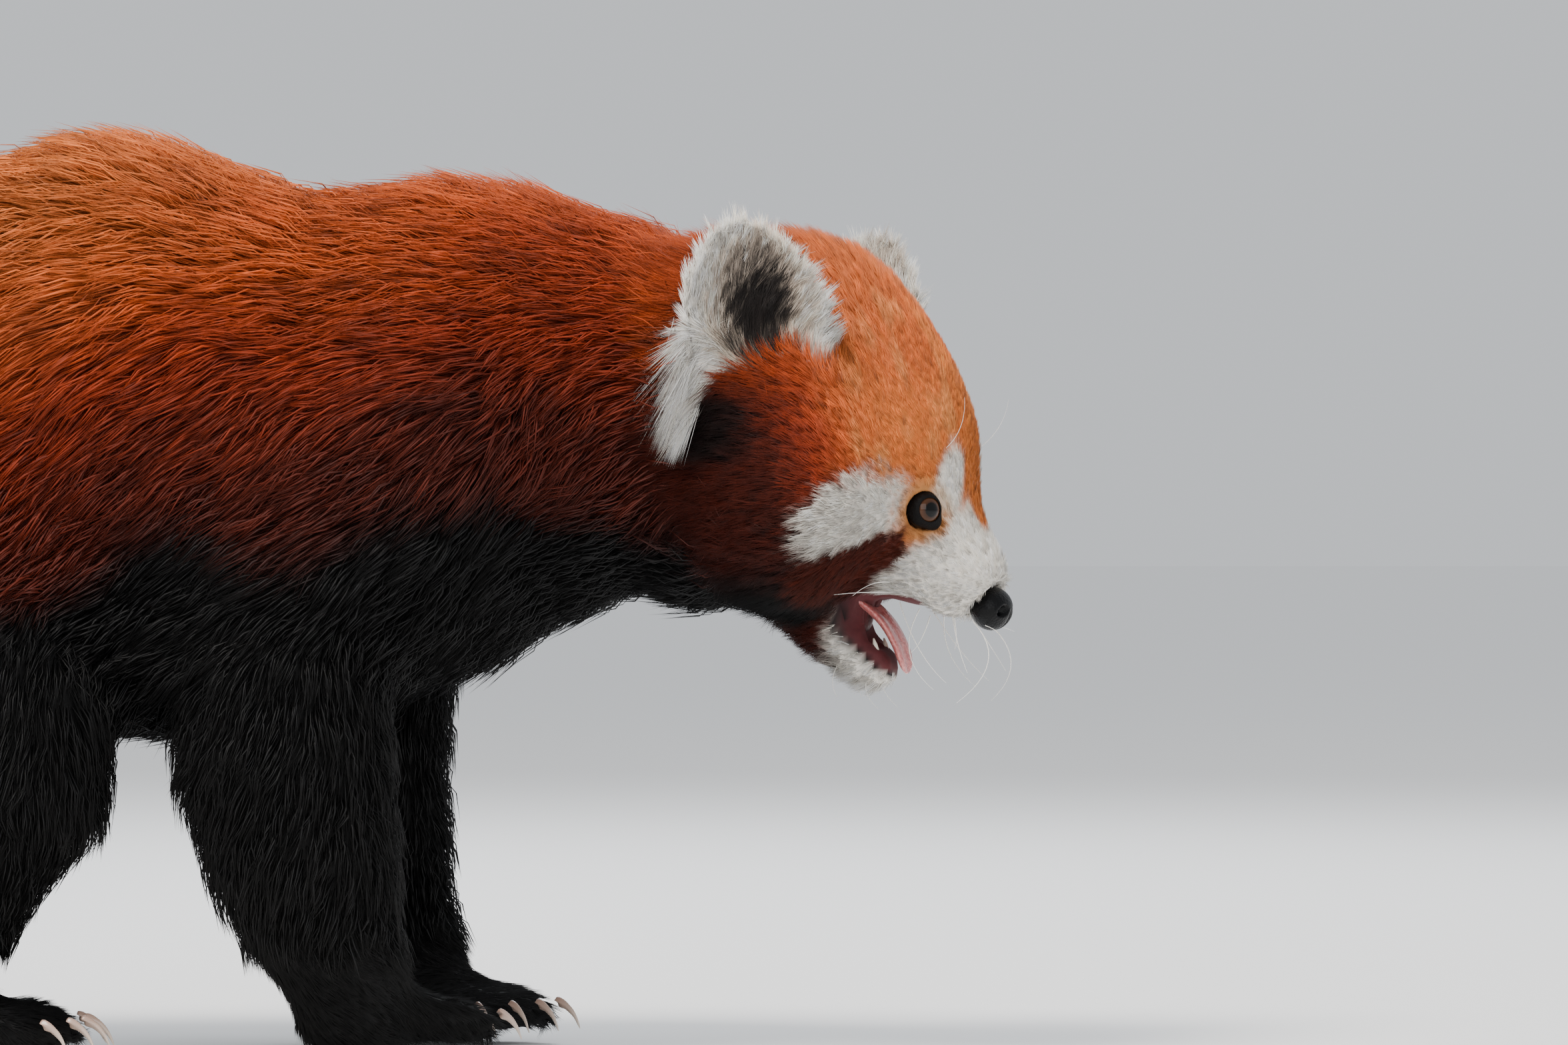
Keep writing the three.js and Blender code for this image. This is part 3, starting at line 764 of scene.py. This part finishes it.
root = at_roots(surface)
root_normal = unit(at_roots(normals))
root_share = at_roots(share)
root_uv = (uvs[corner_loops[chosen]] * weights[:, :, None]).sum(axis=1)
root_figures = at_roots(np.stack([length, width, hair_width, lift, hanging], axis=1))
root_count = len(root)
swirl = np.stack([waver(root, 45 * MM, seed) for seed in (21, 22, 23)], axis=1)
swirl += 0.8 * np.stack([waver(root, 17 * MM, seed) for seed in (24, 25, 26)], axis=1)
in_head = root_share[:, HEAD] + root_share[:, JAW] > 0.5
frizz = np.where(in_head, 0.28, 0.17)[:, None]
root_lie = unit(at_roots(lie)) + 0.16 * swirl + frizz * random.normal(size=(root_count, 3))
root_lie = unit(root_lie - (root_lie * root_normal).sum(axis=1, keepdims=True) * root_normal)
sideways = np.cross(root_normal, root_lie)
long = root_figures[:, 0] * random.uniform(0.72, 1.18, root_count) * MM
wide = np.where(single, root_figures[:, 2], root_figures[:, 1]) * MM
wide *= random.uniform(0.75, 1.25, root_count)
steep = np.radians(root_figures[:, 3] * random.uniform(0.6, 1.4, root_count))


def reach(angle):
    """The way each strand runs at the given angle over the skin."""
    return root_lie * np.cos(angle)[:, None] + root_normal * np.sin(angle)[:, None]


root_depth = 0.4 * MM
root_place = root - root_normal * root_depth
knee = root_place + reach(steep) * (long * 0.5)[:, None]
tip = knee + reach(steep * 0.25) * (long * 0.5)[:, None]

# The white tufts of the ears draw together to a point behind the cheek
droop = root_figures[:, 4:5]
for side, sign in SIDES.items():
    here = ((root - EAR_MIDDLE[side]) @ head_left * sign > -30 * MM)[:, None]
    tuft_end = from_head(-27, 61 * sign, 179)
    tip += here * 0.6 * droop * (tuft_end - tip)

# Neighbours gather into tufts round one strand in eleven
strands_to_a_tuft = 11
leaders = random.choice(root_count, root_count // strands_to_a_tuft, replace=False)
leader_of = leaders[nearest_of(root[leaders], root)]
apart = np.linalg.norm(root - root[leader_of], axis=1)
gather = (0.55 * (1 - soft(apart, 0.3 * long, 0.8 * long)))[:, None]
tip += (tip[leader_of] - tip) * gather
knee += (knee[leader_of] - knee) * gather * 0.35

# No strand reaches out of the CAD box, so none goes under the floor
box_low, box_high = np.array(cad_box[0]) + 0.2 * MM, np.array(cad_box[1]) - 0.2 * MM
tip = np.clip(tip, box_low, box_high)
knee = np.clip(knee, box_low + 0.5 * MM, box_high - 0.5 * MM)

tone = random.normal(size=root_count)
tone = 0.45 * tone + 0.75 * tone[leader_of]
ticked = np.clip(1 + 0.24 * tone, 0.4, 1.8)[:, None]
root_colours = markings_and_painted_light(root + (tip - root_place) * 0.5, root_share) * ticked

coat_finish = coat_material("coat", 0.55, 0.14)
main_group = root_share.argmax(axis=1)
right = np.where(in_head, to_head(root)[:, 1] < 0, root[:, 1] < nose_middle[1] + 30 * MM)
parting = nose_x - 250 * MM  # between the fore and the hind pieces
fore = root[:, 0] > parting
is_group = {group: main_group == i for i, group in enumerate(GROUPS)}
head_like = is_group["head"] | is_group["jaw"]
PIECES = {
    "coat_head_right": head_like & right,
    "coat_head_left": head_like & ~right,
    "coat_ears": is_group["ear"],
    "coat_neck": is_group["neck"],
    "coat_fore_right": is_group["trunk"] & fore & right,
    "coat_fore_left": is_group["trunk"] & fore & ~right,
    "coat_hind_right": is_group["trunk"] & ~fore & right,
    "coat_hind_left": is_group["trunk"] & ~fore & ~right,
    "coat_tail_front": is_group["tail"] & (tail_place(root) < 0.52 * tail_length),
    "coat_tail_end": is_group["tail"] & (tail_place(root) >= 0.52 * tail_length),
    "coat_forelegs": is_group["leg"] & fore,
    "coat_hindlegs": is_group["leg"] & ~fore,
    "coat_paws": is_group["paw"],
}
patch = 0.003  # of the map, to each lock


def strands(here, rings, root_shade_and_tip):
    """Points, faces, map and colours of strands of one or two rings of three points and a tip."""
    number = here.sum()
    points = np.empty((number, 3 * rings + 1, 3))
    for i, (across, up) in enumerate([(-0.5, 0.0), (0.5, 0.0), (0.0, 0.45)]):
        offset = sideways[here] * (across * wide[here])[:, None]
        offset = offset + root_normal[here] * (up * wide[here])[:, None]
        points[:, i] = root_place[here] + offset
        if rings == 2:
            points[:, 3 + i] = knee[here] + offset * 0.8
    points[:, 3 * rings] = tip[here]
    faces, corners = [], []
    last = 3 * (rings - 1)
    for i in range(3):
        j = (i + 1) % 3
        low, high = i / 3, (i + 1) / 3
        if rings == 2:
            faces += [(i, j, 3 + j), (i, 3 + j, 3 + i)]
            corners += [(low, 0), (high, 0), (high, 0.5), (low, 0), (high, 0.5), (low, 0.5)]
        faces.append((last + i, last + j, last + 3))
        corners += [(low, (rings - 1) / 2), (high, (rings - 1) / 2), ((low + high) / 2, 1)]
    all_faces = (np.arange(number) * (3 * rings + 1))[:, None, None] + np.array(faces)[None]
    spots = root_uv[here][:, None] + (np.array(corners)[None] - 0.5) * patch
    # painted shade: each strand is darker towards its root
    colours = root_colours[here][:, None] * np.array(root_shade_and_tip)[None, :, None]
    return points.reshape(-1, 3), all_faces.reshape(-1, 3), spots.reshape(-1, 2), colours.reshape(-1, 3)


# How light a strand is at each of its points, from the root to the tip: darker at the root as painted
# shade in the gaps between the hairs, and lighter at the tip like the coat's own paler tips
LOCK_ROOT_SHADE_AND_TIP = [0.62] * 3 + [1.0] * 3 + [1.22]
HAIR_ROOT_SHADE_AND_TIP = [0.5] * 3 + [1.3]


def grow_coat(name, here):
    """One mesh of the bent locks and the single hairs chosen by here."""
    locks = strands(here & ~single, 2, LOCK_ROOT_SHADE_AND_TIP)
    fine = strands(here & single, 1, HAIR_ROOT_SHADE_AND_TIP)
    faces = np.concatenate([locks[1], fine[1] + len(locks[0])])
    made = triangle_object(name, np.concatenate([locks[0], fine[0]]), faces)
    layer = made.data.uv_layers.new(name="OFBake")
    layer.data.foreach_set("uv", np.clip(np.concatenate([locks[2], fine[2]]), 0.001, 0.999).ravel())
    put_colours(made.data, np.concatenate([locks[3], fine[3]]))
    made.data.materials.append(coat_finish)
    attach(made, "root")


for name, here in PIECES.items():
    grow_coat(name, here)

# Eyes: wet dark brown globes with a round black pupil. Each sits in a socket of the skin, held by a thin
# black rim of lid that runs down into a tear duct on the side of the nose.
BROWN, DARK_BROWN, NEAR_BLACK = (0.06, 0.022, 0.008), (0.03, 0.012, 0.006), (0.001, 0.001, 0.001)
# Share of the way out from the middle of the pupil, and the colour there
EYE_TINTS = ((0.3, NEAR_BLACK), (0.34, DARK_BROWN), (0.5, BROWN), (0.68, DARK_BROWN), (0.78, NEAR_BLACK))
tinted_radius = 7 * MM


def eye_material(side):
    """Rings of colour round the point of the globe that looks out."""
    made, shader = material(f"eye_{side}", roughness=0.04, Specular_IOR_Level=0.22)
    tree = made.node_tree
    place = tree.nodes.new("ShaderNodeTexCoord")
    away = tree.nodes.new("ShaderNodeVectorMath")
    away.operation = "DISTANCE"
    away.inputs[1].default_value = globe_middles[side] + eye_out[side] * eye_radius
    tree.links.new(place.outputs["Object"], away.inputs[0])
    ramp = tree.nodes.new("ShaderNodeValToRGB")
    ramp.color_ramp.elements[0].position = 0.0
    ramp.color_ramp.elements[0].color = (0.002, 0.002, 0.002, 1)
    ramp.color_ramp.elements[1].position = 1.0
    ramp.color_ramp.elements[1].color = (0.006, 0.004, 0.003, 1)
    for way_out, tint in EYE_TINTS:
        step = ramp.color_ramp.elements.new(way_out)
        step.color = (*tint, 1)
    spread = tree.nodes.new("ShaderNodeMapRange")
    spread.inputs["From Max"].default_value = tinted_radius
    tree.links.new(away.outputs["Value"], spread.inputs["Value"])
    tree.links.new(spread.outputs["Result"], ramp.inputs["Fac"])
    tree.links.new(ramp.outputs["Color"], shader.inputs["Base Color"])
    return made


lid_ring = 4.5  # radius of the rim's middle, in millimetres
lid_globe = 5.75  # radius of the globe that the rim follows
lid_finish, lid_shader = material("lid", (0.003, 0.0025, 0.0025), 0.6, Specular_IOR_Level=0.1)
add_grain(lid_finish, lid_shader, 1400, 0.2 * MM)


def add_ball(name, segments, rings, radius=1.0):
    """A ball at the origin and its points, to be shaped."""
    bpy.ops.object.select_all(action="DESELECT")
    bpy.ops.mesh.primitive_uv_sphere_add(segments=segments, ring_count=rings, radius=radius)
    made = bpy.context.object
    made.name = name
    shade_smooth(made.data)
    return made, read(made.data.vertices, "co", 3)


for side in SIDES:
    globe, points = add_ball(f"globe_{side}", 48, 32, eye_radius)
    set_points(globe.data, points + globe_middles[side])
    globe.data.materials.append(eye_material(side))
    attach(globe, "root")
    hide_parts(f"eye_{side}")

    bpy.ops.object.select_all(action="DESELECT")
    bpy.ops.mesh.primitive_torus_add(
        major_segments=56, minor_segments=14, major_radius=lid_ring * MM, minor_radius=0.6 * MM
    )
    lid = bpy.context.object
    lid.name = f"lid_{side}"
    x, y, z = read(lid.data.vertices, "co", 3).T / MM
    rim = np.hypot(x, y)
    wider = (lid_ring + (rim - lid_ring) * 1.5) / rim
    towards_nose = -SIDES[side]
    duct = soft(x * towards_nose * 0.6 - y * 0.8, 3.2, 5.6) * (rim > lid_ring)
    x, y = x * wider * 1.06, y * wider
    rim = np.hypot(x, y)
    rise = np.sqrt(np.maximum(lid_globe**2 - rim**2, 0)) - np.maximum(rim - lid_globe + 0.4, 0) * 0.6
    x, y = x + 1.6 * towards_nose * duct, y - 1.4 * duct
    axes = np.stack([np.cross(UP, eye_out[side]), UP, eye_out[side]])
    set_points(lid.data, np.stack([x, y, rise + z], axis=1) @ axes * MM + globe_middles[side])
    shade_smooth(lid.data)
    lid.data.materials.append(lid_finish)
    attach(lid, "root")

# Nose leather: moist black hide over a rounded pad, narrower below. Two comma-shaped nostrils and the
# groove between them are pressed into its front.
nose_finish, nose_shader = material("nose_leather", (0.002, 0.002, 0.0024), 0.38, Specular_IOR_Level=0.14)
tree = nose_finish.node_tree
nose_place = tree.nodes.new("ShaderNodeTexCoord")
pebbles = tree.nodes.new("ShaderNodeTexVoronoi")
pebbles.inputs["Scale"].default_value = 1300
tree.links.new(nose_place.outputs["Object"], pebbles.inputs["Vector"])
nose_bump = tree.nodes.new("ShaderNodeBump")
nose_bump.inputs["Strength"].default_value = 0.5
nose_bump.inputs["Distance"].default_value = 0.25 * MM
tree.links.new(pebbles.outputs["Distance"], nose_bump.inputs["Height"])
tree.links.new(nose_bump.outputs["Normal"], nose_shader.inputs["Normal"])

nose, points = add_ball("nose_pad", 72, 48)
x, y, z = points.T
nose_long, nose_wide, nose_tall = 6.3, 8.6, 6.6  # half sizes in millimetres
x, y, z = x * nose_long, y * (nose_wide - 1.8 * soft(-z, 0.1, 1.0)), z * nose_tall
nostril_depth, cleft_depth = 3.0, 0.9
for sign in SIDES.values():
    nostril = spot(y, z + 0.25 * (np.abs(y) - 4), (4.3 * sign, -0.6), (2.4, 1.9))
    x = x - nostril_depth * (1 - soft(nostril, 0.35, 1.0)) * (x > 0)
x = x - cleft_depth * np.exp(-((y / 0.7) ** 2)) * soft(-z, -1.5, 3.5) * (x > 0)
head_axes = np.stack([head_forward, head_left, UP])
set_points(nose.data, nose_middle + np.stack([x, y, z], axis=1) @ head_axes * MM)
nose.data.materials.append(nose_finish)
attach(nose, "root")
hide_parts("nose")

# Inside of the mouth: wet flesh that closes the back of the mouth between the palate, the cheeks and the
# lower jaw, coloured far darker than flesh as painted shade of the inside of the mouth. It slopes down
# with the open jaw.
palate_flesh_and_shade_finish, palate_shader = material("palate", (0.075, 0.026, 0.026), 0.55, Specular_IOR_Level=0.3)
add_grain(palate_flesh_and_shade_finish, palate_shader, 350, 0.8 * MM)
palate_half = np.array([19, 11, 10]) * MM
mouth_slope = math.radians(-31)
palate, points = add_ball("palate", 48, 32)
palate_axes = np.stack([
    head_forward * math.cos(mouth_slope) + UP * math.sin(mouth_slope),
    head_left,
    UP * math.cos(mouth_slope) - head_forward * math.sin(mouth_slope),
])
set_points(palate.data, from_head(3, 0, 138) + points * palate_half @ palate_axes)
palate.data.materials.append(palate_flesh_and_shade_finish)
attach(palate, "root")

# Tongue: wet pink flesh that lies in the lower jaw and curls over its tip. It is flat, thin at the edges
# and hollowed along the middle.
tongue_finish, tongue_shader = material(
    "tongue", (0.55, 0.16, 0.15), 0.32, Subsurface_Weight=0.15, Subsurface_Scale=0.003, Coat_Weight=0.3
)
tree, papillae = add_grain(tongue_finish, tongue_shader, 900, 0.3 * MM)
tint = tree.nodes.new("ShaderNodeValToRGB")
tint.color_ramp.elements[0].position = 0.3
tint.color_ramp.elements[0].color = (0.42, 0.1, 0.1, 1)
tint.color_ramp.elements[1].position = 0.7
tint.color_ramp.elements[1].color = (0.66, 0.25, 0.23, 1)
tree.links.new(papillae, tint.inputs["Fac"])
tree.links.new(tint.outputs["Color"], tongue_shader.inputs["Base Color"])
# Its middle line in the head's frame and its half width, from the root to the tip
TONGUE_F = [-6, 6, 15, 22, 27, 30, 31.5]
TONGUE_U = [136, 138.5, 137, 132.5, 126, 119, 112.5]
TONGUE_HALF = [8, 8.2, 8, 7.4, 6.8, 6.3, 5.8]
tongue_thickness, groove_depth, groove_width = 1.5, 0.8, 1.8
tongue_rows, tongue_spokes = 40, 28
stations = np.linspace(0, 1, tongue_rows)
knots = np.linspace(0, 1, len(TONGUE_F))


def smooth_through(values):
    """The values at the tongue's stations, rounded where they turn."""
    reach_out = np.linspace(-0.06, 1.06, tongue_rows + 8)
    return np.convolve(np.interp(reach_out, knots, values), np.ones(9) / 9, mode="valid")


def tubes_object(name, tubes):
    """One mesh of closed tubes. Each tube is an array of rings, anticlockwise as seen from its tip."""
    points, faces = [], []
    for rings in tubes:
        rows, sides = rings.shape[:2]
        numbers = np.arange(rows * sides).reshape(rows, sides) + len(points)
        after = np.roll(numbers, -1, axis=1)
        quads = np.stack([numbers[:-1], after[:-1], after[1:], numbers[1:]], axis=-1)
        faces += quads.reshape(-1, 4).tolist() + [numbers[0, ::-1].tolist(), numbers[-1].tolist()]
        points += rings.reshape(-1, 3).tolist()
    tubes_mesh = bpy.data.meshes.new(name)
    tubes_mesh.from_pydata(points, [], faces)
    made = bpy.data.objects.new(name, tubes_mesh)
    bpy.context.collection.objects.link(made)
    return made


tongue_f, tongue_u, tongue_half = (smooth_through(each) for each in (TONGUE_F, TONGUE_U, TONGUE_HALF))
run_f, run_u = np.gradient(tongue_f), np.gradient(tongue_u)
run = np.hypot(run_f, run_u)
rounding = np.sqrt(np.clip(1 - (np.maximum(stations - 0.8, 0) / 0.2) ** 2, 0, 1))
turn = np.linspace(0, 2 * math.pi, tongue_spokes, endpoint=False)
aside = np.cos(turn) * (tongue_half * np.maximum(rounding, 0.05))[:, None]
thick = np.sin(turn) * (tongue_thickness * np.maximum(rounding, 0.3))[:, None]
groove = groove_depth * np.exp(-((aside / groove_width) ** 2)) * (np.sin(turn) > 0) * rounding[:, None]
lifted = thick - groove + 0.02 * aside**2
along_f = tongue_f[:, None] - (run_u / run)[:, None] * lifted
along_u = tongue_u[:, None] + (run_f / run)[:, None] * lifted
rings = head_origin + np.stack([along_f, aside, along_u], axis=-1) @ head_axes * MM
tongue = tubes_object("tongue_flesh", [rings])
shade_smooth(tongue.data)
tongue.data.materials.append(tongue_finish)
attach(tongue, "root")
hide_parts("tongue")

# Teeth: the lower canines and the small row between them, off-white enamel. They stand in the front of
# the lower jaw and curve a little backwards.
tooth_finish, _ = material("enamel", (0.78, 0.72, 0.6), 0.25)
# Foot in the head's frame, height and radius, in millimetres
TEETH = [(23, 5.2 * sign, 118.5, 6.5, 1.4) for sign in SIDES.values()]
TEETH += [(25, across, 117.5, 3.0, 0.8) for across in (-3.4, -1.2, 1.2, 3.4)]
tooth_rows, tooth_sides = 5, 10
turn = np.linspace(0, 2 * math.pi, tooth_sides, endpoint=False)
part = np.linspace(0, 1, tooth_rows)[:, None]  # of the way up the tooth
tooth_rings = []
for ahead, across, up, tall, thick in TEETH:
    radius = thick * np.sqrt(1 - 0.97 * part)
    ring_f = ahead + radius * np.cos(turn) - 0.9 * part**2
    ring_s = across + radius * np.sin(turn) * 0.8
    ring_u = np.repeat(up + tall * part, tooth_sides, axis=1)
    tooth_rings.append(head_origin + np.stack([ring_f, ring_s, ring_u], axis=-1) @ head_axes * MM)
teeth = tubes_object("teeth", tooth_rings)
shade_smooth(teeth.data)
teeth.data.materials.append(tooth_finish)
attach(teeth, "root")

# Claws: five to a paw, of curved smooth horn, pinkish at the root and pale at the tip. They keep the
# shape of the solids, rounded.
claw_finish, claw_shader = material("horn", (0.7, 0.6, 0.48), 0.3, Coat_Weight=0.3)
tree = claw_finish.node_tree
claw_place = tree.nodes.new("ShaderNodeTexCoord")
split = tree.nodes.new("ShaderNodeSeparateXYZ")
tree.links.new(claw_place.outputs["Object"], split.inputs["Vector"])
claw_tint = tree.nodes.new("ShaderNodeValToRGB")
claw_tint.color_ramp.elements[0].color = (0.74, 0.68, 0.58, 1)
claw_tint.color_ramp.elements[1].color = (0.42, 0.27, 0.21, 1)
claw_height = 14 * MM  # of the roots over the floor
claw_range = tree.nodes.new("ShaderNodeMapRange")
claw_range.inputs["From Max"].default_value = claw_height
tree.links.new(split.outputs["Z"], claw_range.inputs["Value"])
tree.links.new(claw_range.outputs["Result"], claw_tint.inputs["Fac"])
tree.links.new(claw_tint.outputs["Color"], claw_shader.inputs["Base Color"])
for limb in ("forepaw", "hindpaw"):
    for side in SIDES:
        for toe in range(1, 6):
            node = f"{limb}_{side}_claw_{toe}"
            claw = triangle_object(f"horn_{limb}_{side}_{toe}", *node_arrays(node))
            select_only(claw)
            rounder = claw.modifiers.new("rounder", "SUBSURF")
            rounder.levels = 2
            rounder.render_levels = 2
            bpy.ops.object.modifier_apply(modifier="rounder")
            shade_smooth(claw.data)
            claw.data.materials.append(claw_finish)
            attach(claw, "root")
            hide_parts(node)

# Whiskers: stiff white hairs from the upper lip, the brow and the chin, thick at the root and drawn out to
# a fine end. Each bends once.
WHISKERS = [  # root, middle and tip in the head's frame for the left side, and the radius at the root
    ((39, 13, 138), (26, 22, 139), (8, 30, 137), 0.2),
    ((33, 14, 136), (41, 20, 122), (50, 22, 112), 0.2),
    ((39, 13, 134), (38, 20, 121), (46, 22, 110), 0.2),
    ((42, 12, 132), (41, 18, 125), (39, 22, 121), 0.2),
    ((54, 7, 130), (60, 12, 118), (52, 18, 106), 0.2),
    ((48, 9, 132), (52, 16, 123), (56, 20, 115), 0.2),
    ((57, 5, 129), (60, 7, 128), (62, 9, 127), 0.15),
    ((36, 15, 140), (30, 24, 142), (24, 32, 138), 0.2),
    ((21, 6, 114), (21, 9, 109), (25, 10, 104), 0.16),
    ((12, 9, 117), (11, 11, 112), (13, 12, 107), 0.16),
    ((45, 15, 180), (53, 19, 187), (56, 23, 197), 0.1),
]
whisker_rows, whisker_sides = 13, 4
turn = np.linspace(0, 2 * math.pi, whisker_sides, endpoint=False)
part = np.linspace(0, 1, whisker_rows)[:, None]  # of the way along the whisker
whisker_rings = []
for sign in SIDES.values():
    for *places, thick in WHISKERS:
        start, bend, end = (from_head(f, s * sign, u) for f, s, u in places)
        pull = 2 * bend - (start + end) / 2
        centre = start * (1 - part) ** 2 + pull * 2 * part * (1 - part) + end * part**2
        centre = np.clip(centre, box_low, box_high)
        heading = unit((pull - start) * (1 - part) + (end - pull) * part)
        across = unit(np.cross(heading, head_forward + head_left * 0.37))
        rise = np.cross(heading, across)
        radius = (thick * (1 - 0.75 * part) * MM)[:, :, None]
        round_it = across[:, None] * np.cos(turn)[:, None] + rise[:, None] * np.sin(turn)[:, None]
        whisker_rings.append(centre[:, None] + radius * round_it)
whiskers = tubes_object("whiskers", whisker_rings)
whisker_finish, _ = material("whisker", (0.85, 0.82, 0.76), 0.4)
whiskers.data.materials.append(whisker_finish)
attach(whiskers, "root")
